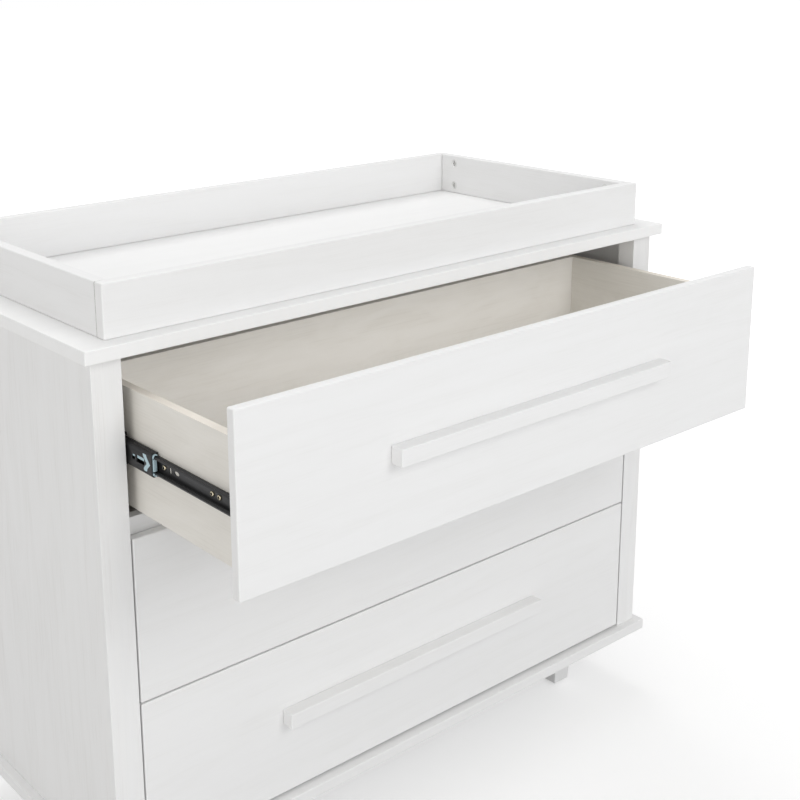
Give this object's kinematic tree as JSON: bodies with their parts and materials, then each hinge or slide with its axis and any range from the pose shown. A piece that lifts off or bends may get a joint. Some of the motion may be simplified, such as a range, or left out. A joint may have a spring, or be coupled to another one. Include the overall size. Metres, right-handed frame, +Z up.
{
  "type": "changing dresser",
  "caption": "White chest of stacked full-width drawers with bar handles on metal slides, on four short legs, topped by a lift-off tray for a changing pad.",
  "frame": {"origin": "on the floor, midway between left and right, and midway between the open top drawer's handle and the back edge of the top board", "axes": "+X to the right as seen from the front, +Y from the front to the back, +Z up"},
  "size_m": [1.08, 0.7506, 0.9247],
  "materials": {
    "white_paint": "satin white paint over wood, with a faint grain",
    "back_board": "thin board faced in matt white",
    "bare_wood": "planed bare softwood",
    "drawer_board": "light grey-beige washed board with a faint mottled grain",
    "black_steel": "black electro-coated sheet steel, semi-gloss",
    "blue_plastic": "pale blue moulded plastic",
    "plated_steel": "pale yellow plated screws",
    "zinc": "bright zinc",
    "grey_plastic": "grey moulded plastic"
  },
  "bodies": {
    "case": {"back_panel": "back_board", "base_panel": "white_paint", "case_screws": "plated_steel", "front_post_left": "white_paint", "front_post_right": "white_paint", "leg_bolts": "plated_steel", "leg_front_left": "white_paint", "leg_front_right": "white_paint", "leg_glides": "grey_plastic", "leg_rear_left": "white_paint", "leg_rear_right": "white_paint", "rail_lower": "white_paint", "rail_upper": "white_paint", "rear_post_left": "white_paint", "rear_post_right": "white_paint", "rear_rail": "white_paint", "side_panel_left": "white_paint", "side_panel_right": "white_paint", "slide_case_members": "black_steel", "slide_cleats_left": "bare_wood", "slide_cleats_right": "bare_wood", "top_panel": "white_paint"},
    "tray": {"tray_back": "white_paint", "tray_brackets": "zinc", "tray_cam_fittings": "zinc", "tray_front": "white_paint", "tray_left": "white_paint", "tray_right": "white_paint", "tray_screws": "plated_steel"},
    "top_drawer": {"top_drawer_back": "drawer_board", "top_drawer_bottom": "drawer_board", "top_drawer_front": "white_paint", "top_drawer_handle": "white_paint", "top_drawer_screws": "plated_steel", "top_drawer_side_left": "drawer_board", "top_drawer_side_right": "drawer_board", "top_drawer_slide_drawer_members": "black_steel"},
    "top_runners": {"top_drawer_slide_retainers": "blue_plastic", "top_drawer_slide_runners": "black_steel"},
    "middle_drawer": {"middle_drawer_back": "drawer_board", "middle_drawer_bottom": "drawer_board", "middle_drawer_front": "white_paint", "middle_drawer_handle": "white_paint", "middle_drawer_screws": "plated_steel", "middle_drawer_side_left": "drawer_board", "middle_drawer_side_right": "drawer_board", "middle_drawer_slide_drawer_members": "black_steel"},
    "middle_runners": {"middle_drawer_slide_retainers": "blue_plastic", "middle_drawer_slide_runners": "black_steel"},
    "bottom_drawer": {"bottom_drawer_back": "drawer_board", "bottom_drawer_bottom": "drawer_board", "bottom_drawer_front": "white_paint", "bottom_drawer_handle": "white_paint", "bottom_drawer_screws": "plated_steel", "bottom_drawer_side_left": "drawer_board", "bottom_drawer_side_right": "drawer_board", "bottom_drawer_slide_drawer_members": "black_steel"},
    "bottom_runners": {"bottom_drawer_slide_retainers": "blue_plastic", "bottom_drawer_slide_runners": "black_steel"}
  },
  "joints": [
    {"name": "tray_lift", "type": "slide", "parent": "case", "child": "tray", "axis": [0, 0, 1], "range_m": [0, 0.15]},
    {"name": "top_drawer_slide", "type": "slide", "parent": "case", "child": "top_drawer", "axis": [0, -1, 0], "range_m": [-0.231, 0.119]},
    {"name": "top_runners_slide", "type": "slide", "parent": "case", "child": "top_runners", "axis": [0, -1, 0], "range_m": [-0.0926, 0.0478]},
    {"name": "middle_drawer_slide", "type": "slide", "parent": "case", "child": "middle_drawer", "axis": [0, -1, 0], "range_m": [0, 0.35]},
    {"name": "middle_runners_slide", "type": "slide", "parent": "case", "child": "middle_runners", "axis": [0, -1, 0], "range_m": [0, 0.1402]},
    {"name": "bottom_drawer_slide", "type": "slide", "parent": "case", "child": "bottom_drawer", "axis": [0, -1, 0], "range_m": [0, 0.35]},
    {"name": "bottom_runners_slide", "type": "slide", "parent": "case", "child": "bottom_runners", "axis": [0, -1, 0], "range_m": [0, 0.1402]}
  ],
  "couplings": [
    {"joint": "top_runners_slide", "follows": "top_drawer_slide", "ratio": 0.4},
    {"joint": "middle_runners_slide", "follows": "middle_drawer_slide", "ratio": 0.4},
    {"joint": "bottom_runners_slide", "follows": "bottom_drawer_slide", "ratio": 0.4}
  ]
}
